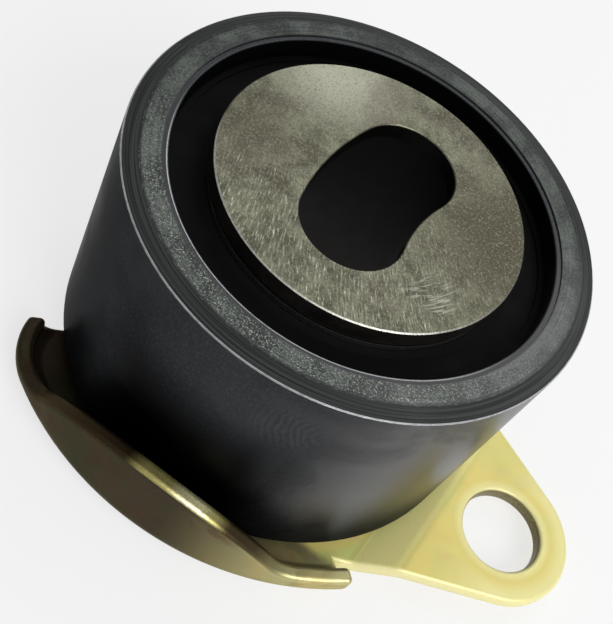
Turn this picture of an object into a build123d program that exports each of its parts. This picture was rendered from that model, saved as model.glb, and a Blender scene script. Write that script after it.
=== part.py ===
"""Timing belt tensioner.

A belt roller that runs on a double-row ball bearing round a fixed steel hub. The hub is swaged
into a stamped bracket, which swivels on a bolt through its lug and is clamped by a second bolt
through the kidney slot in the hub. Z is the roller's axis and z = 0 is the bracket's back face,
which lies on the engine. The lug points along +X, and the belt guard lip faces -Y.
"""

import os
from math import acos, cos, degrees, radians, sin

from build123d import *

os.makedirs("parts", exist_ok=True)

# Bracket: sheet, floor and the swaged seat round the hub
sheet = 2.2
floor_width = 10.0
edge_rounding = 0.7
swage_depth = 1.2
swage_recess = 0.2

# Bracket: lug for the pivot bolt, joggled up from the floor
pivot_distance = 41.0
pivot_bore = 11.8
pivot_bore_rounding = 0.7
pivot_bore_break = 0.3
lug_end_wall = 4.5
lug_guard_offset = 28.75
lug_rear_offset = 25.4
joggle_gap = 0.8
joggle_run = 5.7
joggle_rise = 2.0
joggle_bend = 3.0

# Bracket: belt guard lip, bent up along an arc with an axis of its own, and turned in along
# a tighter arc at its left. Its directions are angles from +X.
lip_gap = 2.0
lip_axis_x = -1.3
lip_axis_y = 7.7
lip_bend = 1.5
lip_left_end = -140.0
lip_right_end = -38.0
lip_corner_start = -118.0
lip_corner_radius = 10.0
lip_arch_height = 12.5
lip_arch_radius = 23.0
lip_arch_x = 1.0
lip_arch_blend = 5.0
lip_left_height = 2.5
lip_right_height = 3.2
lip_root_rounding = 3.0

# Hub: ground disc with the kidney slot, on a hollow tube
hub_diameter = 32.0
hub_wall = 2.3
hub_disc = 2.3
hub_disc_overhang = 0.2
hub_proud = 0.9
hub_root_rounding = 0.5
hub_edge_bevel = 0.15
slot_width = 13.2
slot_travel = 12.9
slot_bend_radius = 27.5
slot_bevel = 0.12

# Bearing: a row of balls at a depth below each end of the roller, with both raceways
ball_diameter = 7.938
balls_per_row = 12
row_depth = 10.7
race_clearance = 0.021
race_conformity = 0.52
ring_wall = 2.11
ring_shoulder = 1.39
ring_bevel = 0.4
roller_wall = 3.91
roller_shoulder = 1.19

# Cages: moulded rings with a snap pocket for each ball
cage_width = 2.8
cage_reach = 1.4
cage_back = 1.2
pocket_clearance = 0.1
prong_gap = 1.3
prong_depth = 2.6

# Roller: belt face and rims
roller_width = 34.4
roller_clearance = 2.55
rim_width = 5.4
rim_bevel_width = 2.0
rim_bevel_height = 0.45
rim_edge_bevel = 0.12
rear_bevel = 0.4
mouth_step_width = 0.8
mouth_step_depth = 0.2
mouth_rounding = 0.3

# Seals: snapped into a groove in the roller, with a lip that runs on the inner ring
seal_depth = 3.0
seal_thickness = 1.6
seal_bead = 0.7
seal_bead_width = 1.5
seal_web = 0.9
seal_web_recess = 0.25
seal_lip_width = 0.9
seal_lip_clearance = 0.05

# Radii, from the hub outwards through the bearing to the belt face
hub_radius = hub_diameter / 2
hub_bore_radius = hub_radius - hub_wall
ball_radius = ball_diameter / 2
ring_race_bottom = hub_radius + ring_wall
pitch_radius = ring_race_bottom + race_clearance + ball_radius
roller_race_bottom = pitch_radius + ball_radius + race_clearance
roller_radius = roller_race_bottom + roller_wall
race_radius = race_conformity * ball_diameter
shoulder_radius = ring_race_bottom + ring_shoulder
land_radius = roller_race_bottom - roller_shoulder
hub_disc_radius = shoulder_radius + hub_disc_overhang
mouth_radius = roller_radius - rim_width
step_radius = mouth_radius + mouth_step_width
groove_radius = mouth_radius + seal_bead
floor_radius = hub_radius + floor_width

# Heights, from the bracket's back face
roller_back = sheet + roller_clearance
roller_front = roller_back + roller_width
roller_middle = (roller_back + roller_front) / 2
front_row = roller_front - row_depth
rear_row = roller_back + row_depth
step_floor = roller_front - mouth_step_depth
seal_front = roller_front - seal_depth
seal_back = seal_front - seal_thickness
hub_front = roller_front + hub_proud
ring_front = hub_front - hub_disc

# The bracket's outline
lug_end_radius = pivot_bore / 2 + lug_end_wall
joggle_start = floor_radius + joggle_gap
lip_axis_offset = (lip_axis_x**2 + lip_axis_y**2) ** 0.5
lip_radius = roller_radius + lip_gap + lip_axis_offset + sheet
lip_top = sheet + lip_arch_height
far = 4 * pivot_distance


def polar(radius, angle):
    """The point at a radius and an angle in degrees about the roller's axis."""
    return (radius * cos(radians(angle)), radius * sin(radians(angle)))


def sharp_edges(part):
    """The edges of a part along which two of its faces meet at a clear angle."""
    faces_along = {}
    for face in part.faces():
        for edge in face.edges():
            faces_along.setdefault(edge, []).append(face)
    found = ShapeList()
    for edge, faces in faces_along.items():
        middle = edge @ 0.5
        if len(faces) == 2 and faces[0].normal_at(middle).get_angle(faces[1].normal_at(middle)) > 30:
            found.append(edge)
    return found


# Lug: a joggled strip of sheet with a round end about the pivot. Each straight side is tangent
# to that end and passes the roller's axis at its own offset.
rear_tangent = degrees(acos((lug_rear_offset - lug_end_radius) / pivot_distance))
guard_tangent = -degrees(acos((lug_guard_offset - lug_end_radius) / pivot_distance))

with BuildPart() as lug:
    with BuildSketch(Plane.XZ):
        with BuildLine():
            FilletPolyline(
                (0, sheet / 2),
                (joggle_start, sheet / 2),
                (joggle_start + joggle_run, joggle_rise + sheet / 2),
                (far, joggle_rise + sheet / 2),
                radius=joggle_bend + sheet / 2,
            )
        trace(line_width=sheet)
    extrude(amount=far, both=True)
    with BuildSketch():
        with BuildLine():
            end = CenterArc(
                (pivot_distance, 0), lug_end_radius, guard_tangent, rear_tangent - guard_tangent
            )
            Polyline(
                end @ 1,
                polar(lug_rear_offset, rear_tangent),
                (0, 0),
                polar(lug_guard_offset, guard_tangent),
                end @ 0,
            )
        make_face()
    extrude(amount=far, mode=Mode.INTERSECT)
    outside_hub = sharp_edges(lug.part).filter_by(
        lambda edge: abs((edge @ 0.5) - Vector(0, 0, (edge @ 0.5).Z)) > hub_radius
    )
    fillet(outside_hub.filter_by(Axis.Z, reverse=True), radius=edge_rounding)
    with Locations((pivot_distance, 0)):
        Hole(radius=pivot_bore / 2)
    pivot_bore_rims = lug.edges().filter_by(GeomType.CIRCLE).filter_by(
        lambda edge: abs(edge.radius - pivot_bore / 2) < 0.01
    )
    fillet(pivot_bore_rims.sort_by(Axis.Z)[-1], radius=pivot_bore_rounding)
    fillet(pivot_bore_rims.sort_by(Axis.Z)[0], radius=pivot_bore_break)

# Base plate: the lip's section is turned about two axes, for its long arc and its left corner.
# The floor is added, both are cut to the plan outline and the arched front, then the lug joins.
lip_axis = Axis((lip_axis_x, lip_axis_y, 0), (0, 0, 1))
corner_offset = Vector(*polar(lip_radius - lip_corner_radius, lip_corner_start))
corner_axis = Axis(lip_axis.position + corner_offset, (0, 0, 1))
outwards = Vector(*polar(1, lip_corner_start))
lip_section_plane = Plane(lip_axis.position, x_dir=outwards, z_dir=outwards.cross(Vector(0, 0, 1)))

with BuildSketch(lip_section_plane) as lip_section:
    with BuildLine():
        FilletPolyline(
            (lip_radius - lip_corner_radius, sheet / 2),
            (lip_radius - sheet / 2, sheet / 2),
            (lip_radius - sheet / 2, lip_top + sheet),
            radius=lip_bend + sheet / 2,
        )
    trace(line_width=sheet)

with BuildPart() as base_plate:
    revolve(lip_section.sketch, axis=lip_axis, revolution_arc=180)
    revolve(lip_section.sketch, axis=corner_axis, revolution_arc=-90)
    with BuildSketch():
        with Locations((lip_axis_x, lip_axis_y)):
            Circle(lip_radius - lip_corner_radius)
        Circle(floor_radius + lip_root_rounding)
    extrude(amount=sheet)
    with BuildSketch() as floor_outline:
        with BuildLine():
            Polyline((0, 0), polar(far, lip_left_end), polar(far, lip_right_end), close=True)
        make_face()
        Circle(floor_radius)
        left_root = floor_outline.vertices().sort_by_distance(polar(floor_radius, lip_left_end))[0]
        fillet(left_root, radius=lip_root_rounding)
    extrude(amount=far, mode=Mode.INTERSECT)
    with BuildSketch(Plane.XZ) as lip_front:
        with Locations((-far / 2, sheet + lip_left_height - far / 2)):
            Rectangle(far, far)
        with Locations((far / 2, sheet + lip_right_height - far / 2)):
            Rectangle(far, far)
        with Locations((lip_arch_x, lip_top - lip_arch_radius)):
            Circle(lip_arch_radius)
        arch_feet = lip_front.vertices().sort_by(Axis.Y)[-4:].sort_by(Axis.X)[1:3]
        fillet(arch_feet, radius=lip_arch_blend)
    extrude(amount=far, both=True, mode=Mode.INTERSECT)
    rounded = sharp_edges(base_plate.part).filter_by(
        lambda edge: (edge @ 0.5).X < hub_radius or (edge @ 0.5).Z > sheet + lip_bend
    )
    fillet(rounded, radius=edge_rounding)
    add(lug.part)
    Hole(radius=hub_radius)
    swage_seat = base_plate.edges().filter_by(GeomType.CIRCLE).group_by(Axis.Z)[0]
    chamfer(swage_seat.filter_by(lambda edge: abs(edge.radius - hub_radius) < 0.01), length=swage_depth)

base_plate.part.label = "base_plate"
export_step(base_plate.part, "parts/base_plate.step")

# Hub: a tube that is closed by the slotted disc and swaged out into the bracket's back
with BuildPart() as hub:
    with BuildSketch(Plane.XZ):
        with BuildLine():
            Polyline(
                (hub_bore_radius, swage_recess),
                (hub_radius + swage_depth - swage_recess, swage_recess),
                (hub_radius, swage_depth),
                (hub_radius, ring_front),
                (hub_disc_radius, ring_front),
                (hub_disc_radius, hub_front),
                (0, hub_front),
                (0, ring_front),
                (hub_bore_radius, ring_front),
                close=True,
            )
        make_face()
    revolve()
    bore_root = hub.edges().filter_by(GeomType.CIRCLE).filter_by(
        lambda edge: abs(edge.radius - hub_bore_radius) < 0.01
    ).sort_by(Axis.Z)[-1]
    fillet(bore_root, radius=hub_root_rounding)
    chamfer(hub.faces().sort_by(Axis.Z)[-1].edges(), length=hub_edge_bevel)
    with BuildSketch(Plane.XY.offset(ring_front)):
        with BuildLine(mode=Mode.PRIVATE):
            half_angle = degrees(slot_travel / slot_bend_radius / 2)
            slot_path = CenterArc(
                (slot_bend_radius, 0), slot_bend_radius, 180 - half_angle, 2 * half_angle
            )
        SlotArc(slot_path, slot_width)
    extrude(amount=far, mode=Mode.SUBTRACT)
    slot_rim = hub.faces().sort_by(Axis.Z)[-1].inner_wires()[0].edges()
    chamfer(slot_rim, length=slot_bevel)

hub.part.label = "hub"
export_step(hub.part, "parts/hub.step")

# Inner ring: clamped between the bracket and the hub's disc
with BuildPart() as inner_ring:
    with BuildSketch(Plane.XZ) as ring_section:
        with Locations(((hub_radius + shoulder_radius) / 2, (sheet + ring_front) / 2)):
            Rectangle(shoulder_radius - hub_radius, ring_front - sheet)
        chamfer(ring_section.vertices(), length=ring_bevel)
        ring_race_centre = ring_race_bottom + race_radius
        with Locations((ring_race_centre, rear_row), (ring_race_centre, front_row)):
            Circle(race_radius, mode=Mode.SUBTRACT)
    revolve()

inner_ring.part.label = "inner_ring"
export_step(inner_ring.part, "parts/inner_ring.step")

# Roller: one turned piece that is belt pulley and outer ring at once
with BuildPart() as roller:
    with BuildSketch(Plane.XZ) as roller_section:
        with BuildLine():
            Polyline(
                (roller_radius, roller_back),
                (roller_radius, roller_front - rim_bevel_height),
                (roller_radius - rim_bevel_width, roller_front),
                (step_radius, roller_front),
                (step_radius, step_floor),
                (mouth_radius, step_floor),
                (mouth_radius, roller_back + mouth_step_depth),
                (step_radius, roller_back + mouth_step_depth),
                (step_radius, roller_back),
                close=True,
            )
        make_face()
        outline = roller_section.vertices()
        rim_edge = outline.sort_by_distance((roller_radius, roller_front - rim_bevel_height))[0]
        chamfer(rim_edge, length=rim_edge_bevel)
        chamfer(outline.sort_by_distance((roller_radius, roller_back))[0], length=rear_bevel)
        mouth_edges = outline.group_by(Axis.X)[0]
        fillet(mouth_edges, radius=mouth_rounding)
        with Locations((land_radius / 2, roller_middle)):
            Rectangle(land_radius, 2 * (seal_back - roller_middle), mode=Mode.SUBTRACT)
        groove_middle = (seal_front + seal_back) / 2
        with Locations(
            (groove_radius / 2, groove_middle), (groove_radius / 2, 2 * roller_middle - groove_middle)
        ):
            Rectangle(groove_radius, seal_thickness, mode=Mode.SUBTRACT)
        roller_race_centre = roller_race_bottom - race_radius
        with Locations((roller_race_centre, rear_row), (roller_race_centre, front_row)):
            Circle(race_radius, mode=Mode.SUBTRACT)
    revolve()

roller.part.label = "roller"
export_step(roller.part, "parts/roller.step")

# Seals: bead in the roller's groove, thin web, and a lip round the inner ring
seal_inner_radius = shoulder_radius + seal_lip_clearance
web_front = seal_front - seal_web_recess
web_back = web_front - seal_web

with BuildPart() as front_seal:
    with BuildSketch(Plane.XZ):
        with BuildLine():
            Polyline(
                (groove_radius, seal_back),
                (groove_radius, seal_front),
                (groove_radius - seal_bead_width, seal_front),
                (groove_radius - seal_bead_width, web_front),
                (seal_inner_radius + seal_lip_width, web_front),
                (seal_inner_radius, seal_front),
                (seal_inner_radius, seal_back),
                (seal_inner_radius + seal_lip_width, web_back),
                (groove_radius - seal_bead_width, web_back),
                (groove_radius - seal_bead_width, seal_back),
                close=True,
            )
        make_face()
    revolve()

front_seal.part.label = "front_seal"
export_step(front_seal.part, "parts/front_seal.step")

with BuildPart() as rear_seal:
    mirror(front_seal.part, about=Plane.XY.offset(roller_middle))

rear_seal.part.label = "rear_seal"
export_step(rear_seal.part, "parts/rear_seal.step")

# Cages: solid at the back of the balls, with open prongs towards the bearing's middle
pocket_angles = [index * 360 / balls_per_row for index in range(balls_per_row)]
cage_height = cage_reach + ball_radius + cage_back

with BuildPart() as front_cage:
    with BuildSketch(Plane.XY.offset(front_row - cage_reach)):
        Circle(pitch_radius + cage_width / 2)
        Circle(pitch_radius - cage_width / 2, mode=Mode.SUBTRACT)
    extrude(amount=cage_height)
    with BuildSketch(Plane.XY.offset(front_row - cage_reach)):
        with PolarLocations(pitch_radius, balls_per_row, start_angle=180 / balls_per_row):
            Rectangle(2 * cage_width, prong_gap)
    extrude(amount=prong_depth, mode=Mode.SUBTRACT)
    with Locations(*[(*polar(pitch_radius, angle), front_row) for angle in pocket_angles]):
        Sphere(ball_radius + pocket_clearance, mode=Mode.SUBTRACT)

front_cage.part.label = "front_cage"
export_step(front_cage.part, "parts/front_cage.step")

with BuildPart() as rear_cage:
    mirror(front_cage.part, about=Plane.XY.offset(roller_middle))

rear_cage.part.label = "rear_cage"
export_step(rear_cage.part, "parts/rear_cage.step")

# Balls: one part for each, numbered from +X as the angle about the roller's axis grows
for row_name, row_height in (("front", front_row), ("rear", rear_row)):
    for number, angle in enumerate(pocket_angles, start=1):
        with BuildPart() as ball:
            with Locations((*polar(pitch_radius, angle), row_height)):
                Sphere(ball_radius)
        ball.part.label = f"{row_name}_ball_{number:02d}"
        export_step(ball.part, f"parts/{ball.part.label}.step")
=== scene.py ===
"""Looks of the timing belt tensioner: its finishes, the studio light and the camera."""

from math import cos, radians, sin

import bpy
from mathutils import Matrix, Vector


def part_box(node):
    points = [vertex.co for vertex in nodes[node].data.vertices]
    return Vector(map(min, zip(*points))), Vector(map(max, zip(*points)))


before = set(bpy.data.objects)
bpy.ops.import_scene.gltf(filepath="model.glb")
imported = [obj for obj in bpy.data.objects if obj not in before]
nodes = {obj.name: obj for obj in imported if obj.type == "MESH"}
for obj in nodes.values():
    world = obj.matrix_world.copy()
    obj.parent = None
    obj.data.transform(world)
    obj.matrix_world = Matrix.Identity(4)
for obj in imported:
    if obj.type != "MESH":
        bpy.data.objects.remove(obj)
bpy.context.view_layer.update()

# Places that the finishes follow, in millimetres, read from the frame in metres
MM = 1000.0
roller_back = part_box("roller")[0].z * MM
roller_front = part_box("roller")[1].z * MM
roller_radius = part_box("roller")[1].x * MM
hub_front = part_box("hub")[1].z * MM
hub_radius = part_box("hub")[1].x * MM
ring_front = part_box("inner_ring")[1].z * MM
lip_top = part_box("base_plate")[1].z * MM

# Sizes that the boxes don't give: the rim's steps inwards, the hub's hollow, the lip and the pivot
rim_bevel_width = 2.0
rim_width = 5.4
mouth_step_width = 0.8
hollow_radius = hub_radius - 4.5
lip_start = -20.0
lip_corner_radius = 26.5
pivot_distance = 41.0
pivot_radius = 5.9

# Middles of the two marks, and the direction that the hub's face was ground across
tool_marks = (13.1, -7.5, hub_front)
finger_mark = (9.8, -28.4, 31.5)
finger_mark_bend = (6.5, 0.0, 1.0)
ground_along = (0.94, 0.34, 0.0)
ground_across = (-0.34, 0.94, 0.0)

# Floor, in metres, and the share of plain white that the camera sees in it
floor_size = 40.0
floor_gap = 0.00005
floor_white_share = 0.7


class Finish:
    """A procedural material, wired by short calls. Its lengths are in millimetres."""

    def __init__(self, name):
        self.material = bpy.data.materials.new(name)
        self.material.use_nodes = True
        self.tree = self.material.node_tree
        self.shader = self.tree.nodes["Principled BSDF"]
        coordinates = self.add("ShaderNodeTexCoord").outputs
        self.place = self.vector("SCALE", coordinates["Object"], scale=MM)
        self.x, self.y, self.z = self.split(self.place)
        self.radius = self.vector("LENGTH", self.join(self.x, self.y, 0.0), output="Value")
        self.angle = self.math("ARCTAN2", self.y, self.x)
        self.facing_up = self.split(coordinates["Normal"])[2]

    def add(self, kind, inputs=None, **settings):
        """A new node with its settings, and its inputs fed by name or number."""
        made = self.tree.nodes.new(kind)
        for setting, value in settings.items():
            setattr(made, setting, value)
        for socket, value in (inputs or {}).items():
            self.feed(made.inputs[socket], value)
        return made

    def feed(self, socket, value):
        """Links a socket to another, or sets its own value."""
        if isinstance(value, bpy.types.NodeSocket):
            self.tree.links.new(value, socket)
        else:
            socket.default_value = value

    def set(self, **inputs):
        """Feeds the shader's own inputs, named with underscores for spaces."""
        for name, value in inputs.items():
            self.feed(self.shader.inputs[name.replace("_", " ")], value)

    def math(self, operation, *values):
        """A sum, product or other result of numbers and sockets."""
        return self.add("ShaderNodeMath", dict(enumerate(values)), operation=operation).outputs[0]

    def plus(self, first, second):
        return self.math("ADD", first, second)

    def times(self, product, *others):
        """The product of two or more numbers and sockets."""
        for other in others:
            product = self.math("MULTIPLY", product, other)
        return product

    def most(self, largest, *others):
        """The largest of two or more numbers and sockets."""
        for other in others:
            largest = self.math("MAXIMUM", largest, other)
        return largest

    def vector(self, operation, *values, scale=None, output="Vector"):
        """The result of a vector operation, or with output Value its number."""
        made = self.add("ShaderNodeVectorMath", dict(enumerate(values)), operation=operation)
        if scale is not None:
            made.inputs["Scale"].default_value = scale
        return made.outputs[output]

    def distance(self, place, point):
        return self.vector("DISTANCE", place, Vector(point), output="Value")

    def split(self, vector):
        return self.add("ShaderNodeSeparateXYZ", {0: vector}).outputs[:]

    def join(self, x, y, z):
        return self.add("ShaderNodeCombineXYZ", {0: x, 1: y, 2: z}).outputs[0]

    def noise(self, scale, detail=3.0, roughness=0.55, stretch=(1, 1, 1), place=None, distortion=0.0):
        """Noise from 0 to 1 whose features repeat scale times in a millimetre."""
        place = self.vector("MULTIPLY", place or self.place, stretch)
        inputs = {"Vector": place, "Scale": scale, "Detail": detail, "Roughness": roughness}
        inputs["Distortion"] = distortion
        return self.add("ShaderNodeTexNoise", inputs).outputs["Fac"]

    def ramp(self, value, low, high, to_low=0.0, to_high=1.0, smooth=True):
        """Value from low to high, carried to a new range and held at its ends."""
        kind = "SMOOTHSTEP" if smooth else "LINEAR"
        inputs = {"Value": value, "From Min": low, "From Max": high}
        inputs.update({"To Min": to_low, "To Max": to_high})
        return self.add("ShaderNodeMapRange", inputs, interpolation_type=kind).outputs["Result"]

    def fall(self, value, low, high, most=1.0, least=0.0):
        """Most up to low, falling to least at high."""
        return self.ramp(value, low, high, most, least)

    def band(self, value, low, high, soft):
        """One between low and high, falling to zero over a soft width outside them."""
        return self.times(self.ramp(value, low - soft, low), self.fall(value, high, high + soft))

    def mix(self, share, first, second):
        """Two colours mixed by a share from 0 to 1."""
        made = self.add("ShaderNodeMix", data_type="RGBA")
        self.feed(made.inputs["Factor"], share)
        for socket, colour in (("A", first), ("B", second)):
            target = [s for s in made.inputs if s.name == socket and s.type == "RGBA"][0]
            self.feed(target, colour)
        return [s for s in made.outputs if s.type == "RGBA"][0]

    def blend(self, share, first, second):
        """Two numbers mixed by a share from 0 to 1."""
        return self.add("ShaderNodeMix", {"Factor": share, "A": first, "B": second}).outputs["Result"]

    def bump(self, height, depth, strength):
        """A normal bent by a height from 0 to 1 that stands for a depth in millimetres."""
        inputs = {"Height": height, "Distance": depth / MM, "Strength": strength}
        return self.add("ShaderNodeBump", inputs).outputs["Normal"]


def grey(level, red=1.0, green=1.0, blue=1.0):
    """A colour of one level, tinted by its shares of red, green and blue."""
    return (level * red, level * green, level * blue, 1.0)


def finger_print(finish):
    """Curved ridges of a finger mark on the roller's side, fading out round their middle."""
    bend = Vector(finger_mark) + Vector(finger_mark_bend)
    wander = finish.times(finish.noise(0.35), 1.6)
    ridges = finish.plus(finish.distance(finish.place, bend), wander)
    ridges = finish.math("SINE", finish.times(ridges, 8.5))
    nearby = finish.fall(finish.distance(finish.place, finger_mark), 1.5, 6.0)
    return finish.times(nearby, finish.ramp(ridges, -0.8, 1.0))


def oil_haze(finish, smudges):
    """A thin haze of oil on the roller's side, where it faces between the lip and the lug."""
    return finish.times(
        finish.ramp(finish.angle, radians(-75), radians(-45)),
        finish.ramp(smudges, 0.35, 0.6, 0.6, 1.0),
        finish.fall(finish.angle, radians(10), radians(50)),
        finish.ramp(finish.z, roller_back + 1.0, roller_back + 16.0),
    )


def painted_shade_patch(finish):
    """Painted shade: the roller's side is painted near black low down beside the lip."""
    return finish.times(
        finish.ramp(finish.angle, radians(-118), radians(-102)),
        finish.fall(finish.angle, radians(-76), radians(-56)),
        finish.fall(finish.z, roller_front - 20.0, roller_front - 7.0),
    )


def wear_and_highlight_rim_lines(finish, inwards, below):
    """Bright lines along the rim's outer edge, its ridge and the near side of its mouth: partly wear,
    partly painted highlight.
    """
    chips = finish.noise(1.1, detail=3.0, roughness=0.7)
    outer_edge = finish.band(finish.plus(inwards, below), 0.548, 0.572, 0.016)
    outer_edge = finish.times(outer_edge, finish.ramp(chips, 0.3, 0.6, 0.65, 1.0))
    ridge = finish.band(inwards, rim_bevel_width - 0.02, rim_bevel_width + 0.04, 0.05)
    ridge = finish.times(ridge, finish.ramp(chips, 0.50, 0.62, 0.0, 0.15))
    mouth_edge = finish.band(inwards, rim_width - 0.26, rim_width - 0.06, 0.05)
    mouth_edge = finish.times(mouth_edge, finish.ramp(chips, 0.25, 0.5, 0.5, 0.9))
    mouth_edge = finish.times(mouth_edge, finish.fall(finish.y, -18.0, -4.0))
    return finish.most(outer_edge, ridge, mouth_edge)


def black_steel():
    """Blackened turned steel: a dark smooth side, a rough turned rim and bright edges, partly wear and
    partly painted highlight.
    """
    finish = Finish("black_steel")
    inwards = finish.math("SUBTRACT", roller_radius, finish.radius)
    below = finish.math("SUBTRACT", roller_front, finish.z)
    near_front = finish.fall(below, 0.9, 1.0)
    ring_inside = rim_width - mouth_step_width - 0.3
    flat_ring = finish.times(near_front, finish.band(inwards, rim_bevel_width + 0.5, ring_inside, 0.5))
    bevel = finish.times(near_front, finish.band(inwards, 0.15, rim_bevel_width + 0.2, 0.1))
    rim = finish.most(flat_ring, bevel)
    mouth_painted_shade = finish.ramp(inwards, rim_width - 0.15, rim_width - 0.05)

    # The side has smudges, a fine tooth, a haze of oil and a finger mark
    smudges = finish.noise(0.07, detail=4.0, distortion=0.8)
    tooth = finish.noise(3.0, detail=2.0, roughness=0.8)
    haze = oil_haze(finish, smudges)
    print_share = finish.times(finger_print(finish), 0.22)
    painted_shade_share = finish.times(painted_shade_patch(finish), 0.97)
    side = finish.mix(
        finish.ramp(smudges, 0.3, 0.7), grey(0.036, 0.95, 1.0, 1.08), grey(0.056, 0.95, 1.0, 1.06))
    side = finish.mix(finish.ramp(tooth, 0.45, 0.75, 0.0, 0.5), side, grey(0.085, 0.98, 1.0, 1.05))
    side = finish.mix(haze, side, grey(0.020, 1.0, 1.0, 1.05))
    side = finish.mix(print_share, side, grey(0.11, 0.98, 1.0, 1.05))
    # painted shade: near black low down beside the lip
    side = finish.mix(painted_shade_share, side, grey(0.0015, 0.9, 1.0, 1.3))
    # painted shade: the roller's bore inside the mouth is painted near black
    side = finish.mix(mouth_painted_shade, side, grey(0.004, 0.9, 1.0, 1.2))

    # Turned lines run round the rim, under a coarse grain with bright specks on its near side
    around = finish.join(finish.times(finish.radius, 5.0), finish.angle, 0.0)
    lines = finish.noise(1.0, detail=2.0, place=around)
    grain = finish.noise(4.0, detail=3.0, roughness=0.75)
    patches = finish.noise(0.22, detail=3.0, distortion=0.5)
    turned = finish.plus(finish.times(lines, 0.4), finish.times(grain, 0.6))
    ring_tone = finish.times(turned, finish.ramp(patches, 0.3, 0.7, 0.8, 1.2))
    ring = finish.mix(
        finish.ramp(ring_tone, 0.35, 0.68), grey(0.030, 0.95, 1.1, 1.0), grey(0.12, 0.95, 1.08, 1.0))
    specks = finish.ramp(finish.noise(5.0, detail=2.0, roughness=0.8), 0.54, 0.66, 0.0, 0.9)
    specks = finish.times(specks, finish.fall(finish.y, -24.0, 2.0, least=0.2))
    ring = finish.mix(specks, ring, grey(0.42, 1.0, 1.05, 0.98))
    bevel_tone = finish.mix(
        finish.ramp(lines, 0.35, 0.65), grey(0.016, 0.95, 1.05, 1.0), grey(0.05, 0.95, 1.08, 1.0))
    wear_and_highlight = finish.times(wear_and_highlight_rim_lines(finish, inwards, below), near_front)
    colour = finish.mix(bevel, side, bevel_tone)
    colour = finish.mix(flat_ring, colour, ring)
    # partly wear, partly painted highlight on the rim's edges
    colour = finish.mix(wear_and_highlight, colour, grey(0.50, 1.0, 1.0, 1.04))

    # The blackened side shines like dark metal, the rim and the oil less so
    roughness = finish.ramp(smudges, 0.3, 0.75, 0.28, 0.42)
    roughness = finish.blend(rim, roughness, 0.5)
    roughness = finish.blend(mouth_painted_shade, roughness, 0.8)
    roughness = finish.blend(wear_and_highlight, roughness, 0.35)
    metallic = finish.blend(finish.most(rim, finish.times(haze, 0.8)), 0.88, 0.1)
    finish.set(Base_Color=colour, Roughness=roughness, Metallic=metallic, Specular_Tint=grey(0.25))
    finish.set(Coat_Weight=finish.times(haze, 0.6), Coat_Roughness=0.28)
    finish.set(Normal=finish.bump(finish.blend(flat_ring, tooth, turned), 0.02, 0.6))
    return finish.material


def scratched_share(finish, along, across):
    """How scratched the hub's face is: most on the half that looks to the lip, in patches."""
    patches = finish.ramp(finish.noise(0.45, detail=3.0), 0.35, 0.6, 0.45, 1.0)
    near_lip = finish.fall(across, -12.0, 1.0, least=0.12)
    return finish.times(near_lip, finish.fall(along, 6.0, 15.0, least=0.35), patches)


def spot(finish, place, middle, wander, low, high, most):
    """Most in the middle of a spot whose edge lies between two distances, and wanders."""
    off_middle = finish.distance(place, middle)
    return finish.fall(finish.plus(off_middle, wander), low, high, most)


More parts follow.
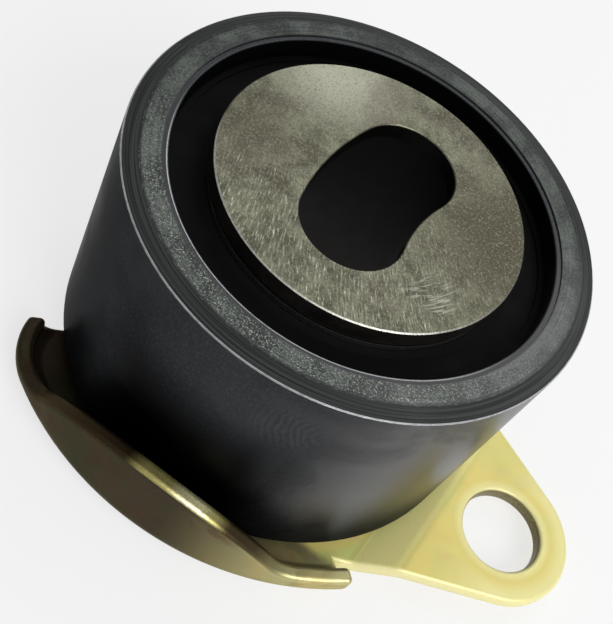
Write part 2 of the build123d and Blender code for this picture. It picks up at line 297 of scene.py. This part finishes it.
def ground_steel():
    """Ground mild steel: a mottled face with fine scratches, tool marks, a painted reflection, and an
    edge that is partly wear and partly painted highlight.
    """
    finish = Finish("ground_steel")
    on_face = finish.ramp(finish.z, hub_front - 0.25, hub_front - 0.10)
    clouds_place = finish.vector("ADD", finish.place, Vector((31.0, 12.0, 0.0)))
    clouds = finish.noise(0.25, detail=6.0, roughness=0.7, distortion=0.2, place=clouds_place)
    blotches = finish.noise(0.10, detail=4.0, distortion=0.2)
    grain = finish.noise(3.2, detail=3.0, roughness=0.85)
    along = finish.vector("DOT_PRODUCT", finish.place, Vector(ground_along), output="Value")
    across = finish.vector("DOT_PRODUCT", finish.place, Vector(ground_across), output="Value")

    # Tool marks are short arcs beside the slot
    arcs_place = finish.join(finish.times(finish.radius, 4.2), finish.times(finish.angle, 5.0), 0.0)
    arcs = finish.ramp(finish.noise(1.0, detail=1.0, place=arcs_place), 0.52, 0.62)
    near_marks = finish.fall(finish.distance(finish.place, tool_marks), 1.5, 4.0)
    marks = finish.times(arcs, near_marks)

    # Scratches fan out across the face, with dark gaps between them
    spread = finish.ramp(across, -70.0, 70.0, 0.0, 2.0, smooth=False)
    fan = finish.times(finish.plus(along, 14.0), spread)
    fan_place = finish.join(finish.times(fan, 5.5), finish.times(across, 0.6), 0.0)
    strokes = finish.noise(1.0, detail=4.0, roughness=0.75, place=fan_place)
    scratched = scratched_share(finish, along, across)
    gaps = finish.times(finish.fall(strokes, 0.38, 0.5), scratched)
    scratches = finish.times(finish.ramp(strokes, 0.54, 0.68), scratched)
    scratches = finish.times(scratches, finish.fall(near_marks, 0.0, 1.0, least=0.4))

    # The face is stained dark at its right and left, and painted lighter at its top as a painted
    # reflection
    face_place = finish.join(along, across, 0.0)
    blotch_wander = finish.times(blotches, 8.0)
    cloud_wander = finish.times(clouds, 8.0)
    right_stain = spot(finish, face_place, (17.0, 1.0, 0.0), blotch_wander, 6.0, 20.0, 0.9)
    left_stain = spot(finish, face_place, (-17.0, 1.0, 0.0), cloud_wander, 5.0, 14.0, 0.6)
    stain = finish.most(right_stain, left_stain)
    painted_reflection = spot(finish, face_place, (-9.0, 16.0, 0.0), finish.times(clouds, 6.0), 4.0, 15.0, 0.8)

    face = finish.mix(
        finish.ramp(clouds, 0.36, 0.64), grey(0.085, 1.0, 0.97, 0.66), grey(0.25, 1.0, 1.0, 0.71))
    # painted reflection: lighter towards the top of the face
    face = finish.mix(painted_reflection, face, grey(0.50, 1.0, 1.0, 0.80))
    face = finish.mix(stain, face, grey(0.075, 1.06, 0.97, 0.62))
    face = finish.mix(finish.ramp(blotches, 0.52, 0.68, 0.0, 0.45), face, grey(0.12, 1.12, 0.96, 0.76))
    face = finish.mix(finish.fall(grain, 0.3, 0.5, 0.6), face, grey(0.05, 1.0, 1.0, 0.72))
    face = finish.mix(finish.ramp(grain, 0.5, 0.72, 0.0, 0.5), face, grey(0.46, 1.0, 1.0, 0.76))
    face = finish.mix(finish.times(gaps, 0.7), face, grey(0.05, 1.0, 0.98, 0.70))
    face = finish.mix(scratches, face, grey(0.80, 1.0, 1.0, 0.82))
    face = finish.mix(finish.times(marks, 0.55), face, grey(0.50, 1.0, 1.0, 0.84))

    # The face's edge is painted bright on the lip's side only, partly wear and partly a painted
    # highlight
    edge_wear_and_highlight = finish.times(
        on_face,
        finish.fall(finish.math("SUBTRACT", hub_radius, finish.radius), 0.08, 0.22),
        finish.fall(along, 8.0, 20.0, least=0.4),
        finish.fall(across, -3.0, 2.0),
        finish.ramp(grain, 0.3, 0.6, 0.4, 1.0),
    )
    face = finish.mix(edge_wear_and_highlight, face, grey(0.75, 1.0, 1.0, 0.92))

    # The sides are darker, and the slot's walls and the hollow are painted darker still as shade
    outside = finish.mix(
        finish.ramp(clouds, 0.3, 0.7), grey(0.03, 1.0, 0.92, 0.80), grey(0.06, 1.0, 0.92, 0.80))
    past_hollow = finish.ramp(finish.radius, hollow_radius, hollow_radius + 0.5)
    side = finish.mix(past_hollow, grey(0.015, 1.0, 0.9, 0.85), outside)
    height = finish.plus(finish.times(grain, 0.5), finish.plus(scratches, marks))
    finish.set(Base_Color=finish.mix(on_face, side, face), Metallic=0.9)
    finish.set(Roughness=finish.ramp(clouds, 0.3, 0.7, 0.42, 0.52))
    finish.set(Normal=finish.bump(height, 0.02, 0.7))
    return finish.material


def zinc_sheet(finish, bloom, veil):
    """Colour of the flat sheet and the lug: yellow with a rosy veil, with painted highlights on its
    edges, end and hole rim, painted light on the joggle's slope and painted shade in the hole.
    """
    sheet = finish.mix(finish.ramp(bloom, 0.35, 0.65), (0.74, 0.71, 0.24, 1), (0.84, 0.71, 0.21, 1))
    sheet = finish.mix(finish.ramp(veil, 0.55, 0.75, 0.0, 0.5), sheet, (0.80, 0.60, 0.28, 1))

    # A green ring lies just outside the roller's edge
    green = finish.band(finish.radius, roller_radius + 0.8, roller_radius + 2.0, 1.2)
    sheet = finish.mix(finish.times(green, 0.7), sheet, (0.60, 0.68, 0.22, 1))

    # Painted light: the rounded edges get a painted highlight, and the joggle's slope is painted
    # lighter against its shade
    slope = finish.band(finish.facing_up, 0.92, 0.97, 0.02)
    slope_painted_light_tone = finish.mix(
        finish.ramp(bloom, 0.35, 0.65), (0.92, 0.96, 0.34, 1), (0.98, 0.90, 0.34, 1))
    sheet = finish.mix(slope, sheet, slope_painted_light_tone)
    edge_highlight = finish.band(finish.facing_up, 0.0, 0.9, 0.06)
    sheet = finish.mix(edge_highlight, sheet, (0.96, 0.89, 0.46, 1))

    # Painted highlight on the lug's end and the pivot hole's rim, and painted shade darkens the hole's
    # wall
    flat_place = finish.join(finish.x, finish.y, 0.0)
    from_pivot = finish.distance(flat_place, (pivot_distance, 0.0, 0.0))
    past_pivot = finish.ramp(finish.x, pivot_distance - 5.0, pivot_distance + 4.0)
    lug_end_highlight = finish.times(finish.ramp(from_pivot, 7.0, 9.8), past_pivot)
    hole_rim_highlight = finish.fall(from_pivot, pivot_radius + 0.4, pivot_radius + 1.9, 0.9)
    highlight_share = finish.times(finish.most(lug_end_highlight, hole_rim_highlight), 0.8)
    hole_wall_shade = finish.fall(from_pivot, pivot_radius + 0.05, pivot_radius + 0.3)
    sheet = finish.mix(highlight_share, sheet, (0.98, 0.92, 0.44, 1))
    return finish.mix(hole_wall_shade, sheet, (0.16, 0.13, 0.06, 1))


def zinc_lip(finish, bloom, veil):
    """Colour of the lip: dark olive, lighter to the right, stained, and brown along its top, partly
    its own tone and partly painted shade and light.
    """
    # partly the lip's own darker tone, partly painted shade at the left and painted light towards the
    # right
    olive = finish.mix(
        finish.ramp(bloom, 0.35, 0.65), (0.030, 0.032, 0.018, 1), (0.040, 0.028, 0.022, 1))
    lit_olive = finish.mix(finish.ramp(veil, 0.4, 0.7), (0.66, 0.62, 0.30, 1), (0.78, 0.66, 0.30, 1))
    lip = finish.mix(finish.ramp(finish.x, 4.0, 28.0), olive, lit_olive)
    stains = finish.ramp(finish.noise(0.13, detail=4.0, distortion=0.6), 0.50, 0.66, 0.0, 0.6)
    # the stains also get lighter to the right, following the painted light
    stain_tone = finish.mix(
        finish.ramp(finish.x, 10.0, 30.0), (0.050, 0.022, 0.016, 1), (0.50, 0.36, 0.16, 1))
    lip = finish.mix(stains, lip, stain_tone)
    # painted shade along the lip's top
    top_band_shade = finish.times(
        finish.ramp(finish.facing_up, 0.3, 0.6),
        finish.fall(finish.x, 15.0, 22.0, 0.9),
        finish.ramp(finish.z, 4.0, 6.0),
    )
    return finish.mix(top_band_shade, lip, (0.045, 0.028, 0.014, 1))


def yellow_zinc():
    """Yellow passivated zinc on pressed sheet: light yellow on the lug with painted highlights, and
    olive to brown on the lip, partly painted shade.
    """
    finish = Finish("yellow_zinc")
    bloom = finish.noise(0.07, detail=3.0, distortion=1.0)
    veil = finish.noise(0.16, detail=2.0, distortion=0.5, stretch=(1.0, 1.6, 1.0))
    grain = finish.noise(4.0, detail=2.0, roughness=0.7)

    # The lip reaches along the front and round its corner at the left
    corner_reach = finish.ramp(finish.radius, lip_corner_radius, lip_corner_radius + 2.5)
    left_corner = finish.times(finish.fall(finish.x, -12.0, -6.0), corner_reach)
    on_lip = finish.most(finish.fall(finish.y, lip_start - 1.5, lip_start), left_corner)
    colour = finish.mix(on_lip, zinc_sheet(finish, bloom, veil), zinc_lip(finish, bloom, veil))

    # Its crest gets a painted highlight
    crest = finish.times(
        finish.band(finish.x, 0.0, 9.0, 3.0),
        finish.ramp(finish.facing_up, 0.35, 0.7),
        finish.ramp(finish.z, lip_top - 5.0, lip_top - 3.0),
        finish.ramp(grain, 0.25, 0.6, 0.6, 1.0),
    )
    crest_highlight_tone = finish.mix(
        finish.band(finish.x, 5.0, 7.5, 2.0), (0.60, 0.54, 0.20, 1), (0.95, 0.90, 0.52, 1))
    colour = finish.mix(crest, colour, crest_highlight_tone)
    off_lip = finish.fall(on_lip, 0.0, 1.0, least=0.1)
    sparkle = finish.times(finish.ramp(grain, 0.3, 0.8, 0.0, 0.25), off_lip)
    colour = finish.mix(sparkle, colour, (0.74, 0.68, 0.34, 1))
    finish.set(Base_Color=colour, Metallic=finish.blend(on_lip, 0.15, 0.85))
    finish.set(Roughness=finish.ramp(veil, 0.3, 0.7, 0.36, 0.46), Specular_Tint=(0.62, 0.58, 0.47, 1))
    finish.set(Normal=finish.bump(grain, 0.010, 0.4))
    return finish.material


def seal_rubber():
    """Oiled black rubber."""
    finish = Finish("seal_rubber")
    smears = finish.noise(0.25, detail=3.0)
    finish.set(Base_Color=finish.mix(smears, grey(0.002), grey(0.005)), Specular_IOR_Level=0.08)
    finish.set(Roughness=finish.ramp(smears, 0.3, 0.7, 0.6, 0.75))
    finish.set(Normal=finish.bump(finish.noise(1.5, detail=3.0), 0.01, 0.4))
    return finish.material


def ring_steel():
    """Bearing steel of the inner ring, whose front end is painted near black as shade in the recess.
    """
    finish = Finish("ring_steel")
    steel = finish.mix(finish.ramp(finish.noise(2.0), 0.3, 0.7), grey(0.5), grey(0.6))
    recess_shade = finish.ramp(finish.z, ring_front - 1.0, ring_front - 0.6)
    finish.set(Base_Color=finish.mix(recess_shade, steel, grey(0.012)), Metallic=1.0)
    finish.set(Roughness=finish.blend(recess_shade, 0.25, 0.7))
    return finish.material


def ball_steel():
    """Hardened and lapped bearing steel."""
    finish = Finish("ball_steel")
    steel = finish.mix(finish.ramp(finish.noise(2.0), 0.3, 0.7), grey(0.675), grey(0.75))
    finish.set(Base_Color=steel, Metallic=1.0, Roughness=0.08)
    return finish.material


def cage_nylon():
    """Natural moulded nylon."""
    finish = Finish("cage_nylon")
    tone = finish.ramp(finish.noise(0.5), 0.3, 0.7)
    nylon = finish.mix(tone, (0.62, 0.57, 0.44, 1), (0.70, 0.66, 0.54, 1))
    finish.set(Base_Color=nylon, Roughness=0.5)
    return finish.material


def finish_nodes():
    """Every CAD node keeps its shape and gets the finish of its real counterpart."""
    rubber = seal_rubber()
    nylon = cage_nylon()
    balls = ball_steel()
    finishes = {
        "roller": black_steel(),
        "hub": ground_steel(),
        "base_plate": yellow_zinc(),
        "inner_ring": ring_steel(),
        "front_seal": rubber,
        "rear_seal": rubber,
        "front_cage": nylon,
        "rear_cage": nylon,
    }
    for name, node in nodes.items():
        node.data.materials.clear()
        node.data.materials.append(finishes.get(name, balls))


def lay_floor():
    """A large white floor just under the bracket's back face, which keeps the part's shadow."""
    bpy.ops.mesh.primitive_plane_add(size=floor_size, location=(0, 0, -floor_gap))
    floor = bpy.context.object
    floor.name = "floor"
    material = bpy.data.materials.new("pale_floor")
    material.use_nodes = True
    tree = material.node_tree
    paint = tree.nodes["Principled BSDF"]
    paint.inputs["Base Color"].default_value = grey(0.9)
    paint.inputs["Roughness"].default_value = 0.9
    paint.inputs["Specular IOR Level"].default_value = 0.1

    # Seen directly, in metal or through glass, part of the floor is plain white
    rays = tree.nodes.new("ShaderNodeLightPath").outputs
    seen = rays["Is Camera Ray"]
    for other in ("Is Glossy Ray", "Is Transmission Ray"):
        either = tree.nodes.new("ShaderNodeMath")
        either.operation = "MAXIMUM"
        tree.links.new(seen, either.inputs[0])
        tree.links.new(rays[other], either.inputs[1])
        seen = either.outputs[0]
    share = tree.nodes.new("ShaderNodeMath")
    share.operation = "MULTIPLY"
    share.inputs[1].default_value = floor_white_share
    white = tree.nodes.new("ShaderNodeEmission")
    mixed = tree.nodes.new("ShaderNodeMixShader")
    tree.links.new(seen, share.inputs[0])
    tree.links.new(share.outputs[0], mixed.inputs[0])
    tree.links.new(paint.outputs[0], mixed.inputs[1])
    tree.links.new(white.outputs[0], mixed.inputs[2])
    tree.links.new(mixed.outputs[0], tree.nodes["Material Output"].inputs["Surface"])
    floor.data.materials.append(material)


def softbox(name, azimuth, elevation, distance, size, watts):
    """A square area lamp on a bearing from the part, with azimuth 0 along +X, in degrees."""
    lamp = bpy.data.lights.new(name, "AREA")
    lamp.shape = "SQUARE"
    lamp.size = size
    lamp.energy = watts
    holder = bpy.data.objects.new(name, lamp)
    bpy.context.scene.collection.objects.link(holder)
    flat = cos(radians(elevation))
    bearing = (flat * cos(radians(azimuth)), flat * sin(radians(azimuth)), sin(radians(elevation)))
    target = Vector((0.0, 0.0, 0.02))
    holder.location = target + distance * Vector(bearing)
    holder.rotation_euler = (target - holder.location).to_track_quat("-Z", "Y").to_euler()


def light_studio():
    """A soft lamp at the part's right, a weaker one behind it, and an even sky."""
    softbox("back", azimuth=90, elevation=50, distance=0.7, size=0.45, watts=1.0)
    softbox("right", azimuth=-32, elevation=42, distance=0.6, size=0.35, watts=2.1)
    world = bpy.context.scene.world or bpy.data.worlds.new("studio")
    bpy.context.scene.world = world
    world.use_nodes = True
    background = world.node_tree.nodes["Background"]
    background.inputs["Color"].default_value = grey(1.0)
    background.inputs["Strength"].default_value = 0.38


def aim_camera():
    """The photograph's viewpoint, which looks down on the guard lip's side."""
    camera = bpy.data.cameras.new("camera")
    camera.lens = 64.7
    camera.sensor_width = 36.0
    camera.clip_start = 0.01
    holder = bpy.data.objects.new("camera", camera)
    holder.location = (0.01277, -0.09478, 0.13152)
    holder.rotation_euler = (radians(34.10), radians(-20.51), radians(34.31))
    bpy.context.scene.collection.objects.link(holder)
    bpy.context.scene.camera = holder


finish_nodes()
lay_floor()
light_studio()
aim_camera()
bpy.context.scene.view_settings.view_transform = "Standard"
